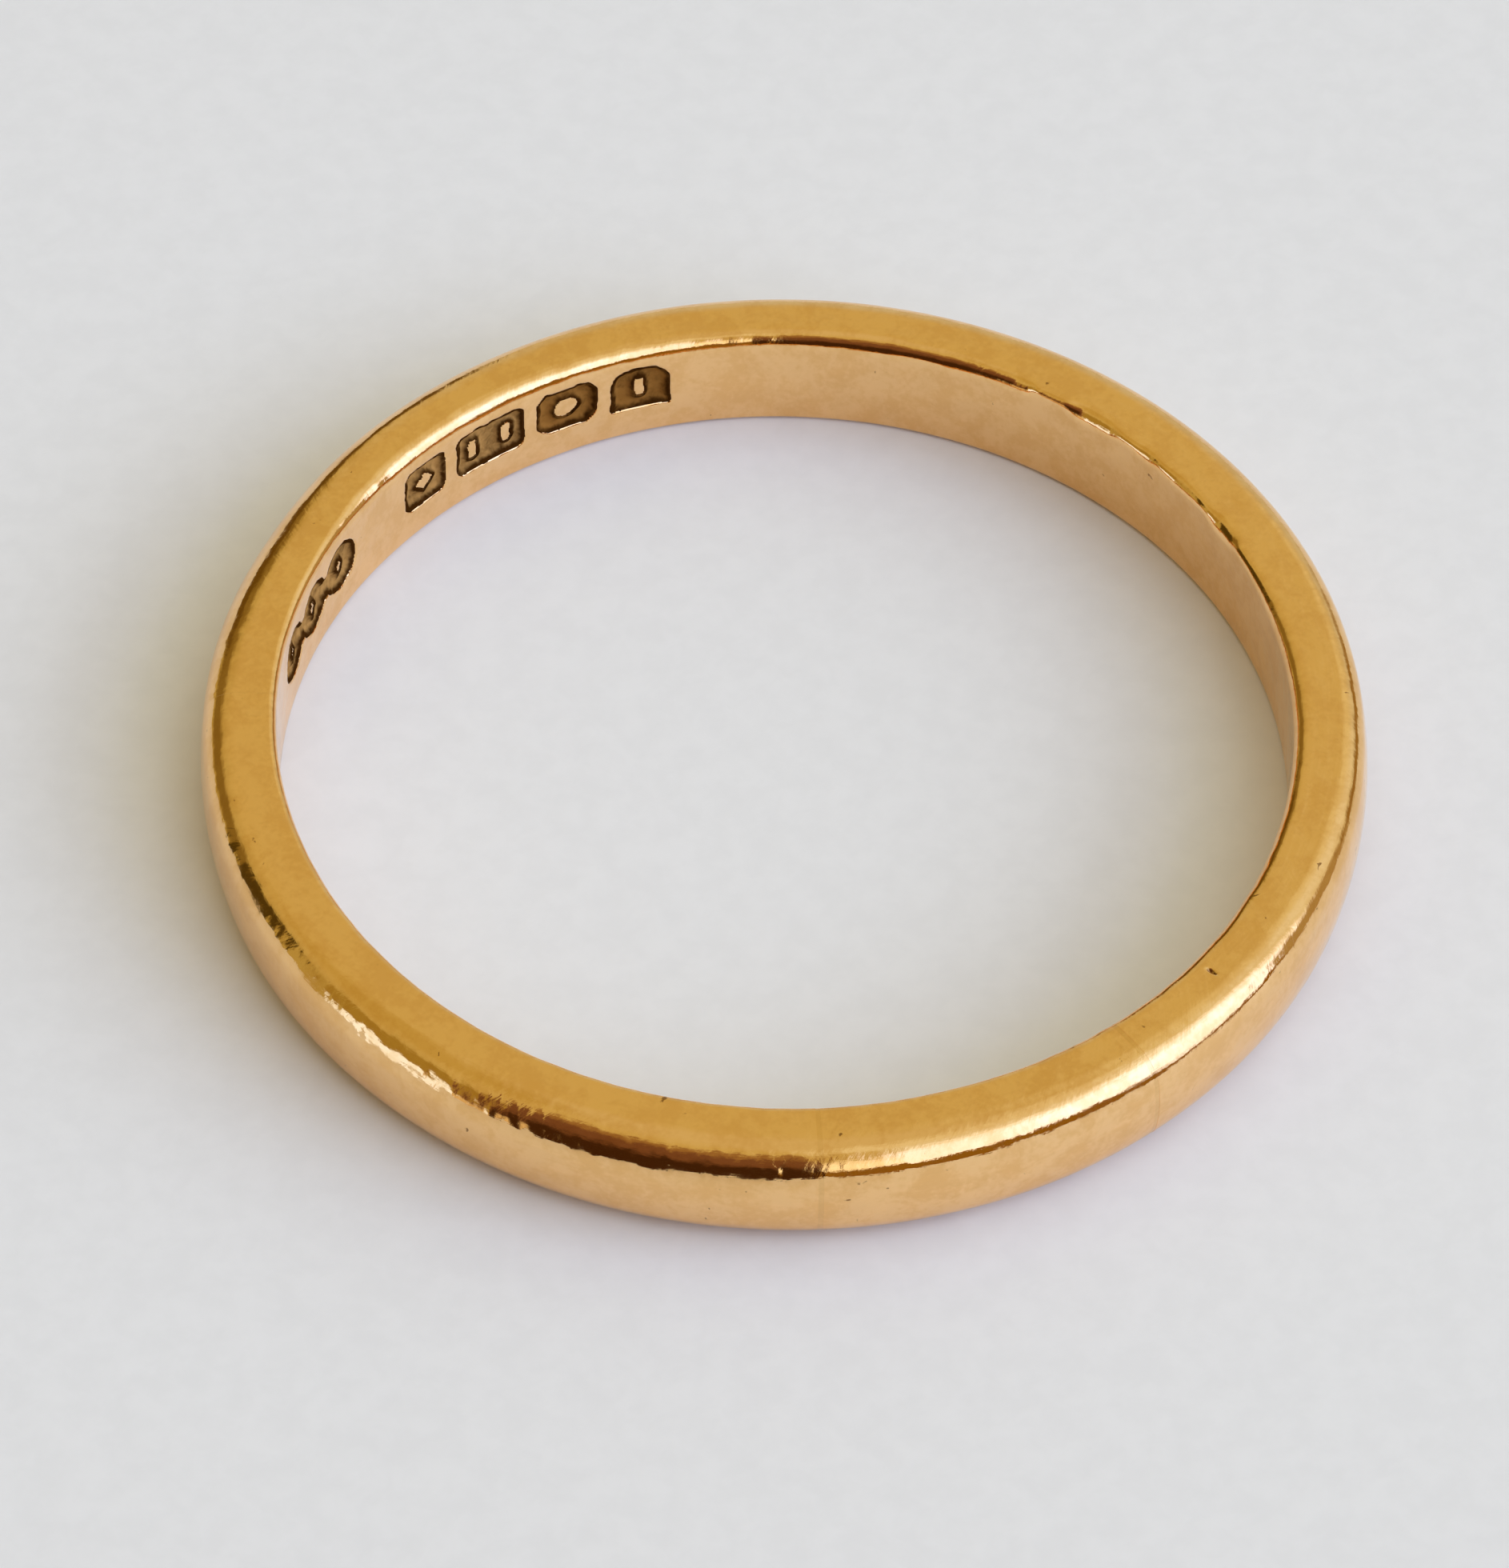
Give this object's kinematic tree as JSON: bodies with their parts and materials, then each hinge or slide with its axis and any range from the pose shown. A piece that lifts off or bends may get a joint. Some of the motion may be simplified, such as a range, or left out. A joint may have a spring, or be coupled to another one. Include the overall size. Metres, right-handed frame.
{
  "type": "wedding band",
  "caption": "Plain narrow finger ring with flat sides, a softly crowned outer face, worn round edges, soldered resizing joints and small struck marks inside.",
  "frame": {"origin": "centre of the finger hole, at the middle of the band's width", "axes": "+Z along the finger's axis; the first resizing joint is 85.5 degrees clockwise from +X, and the row of marks is in the (-X, +Y) quarter"},
  "size_m": [0.0198, 0.0198, 0.002],
  "materials": {
    "gold": "22 carat gold, worn to a fine satin on the sides and brighter on the edges",
    "solder": "gold solder, a little paler than the band",
    "tarnish": "dull dark brown residue"
  },
  "bodies": {
    "root": {"shank": "gold", "sizing_piece": "gold", "solder_first_joint": "solder", "solder_second_joint": "solder", "tarnish_arched_mark": "tarnish", "tarnish_clipped_mark": "tarnish", "tarnish_twin_mark": "tarnish", "tarnish_diamond_mark": "tarnish", "tarnish_long_mark": "tarnish"}
  },
  "joints": []
}
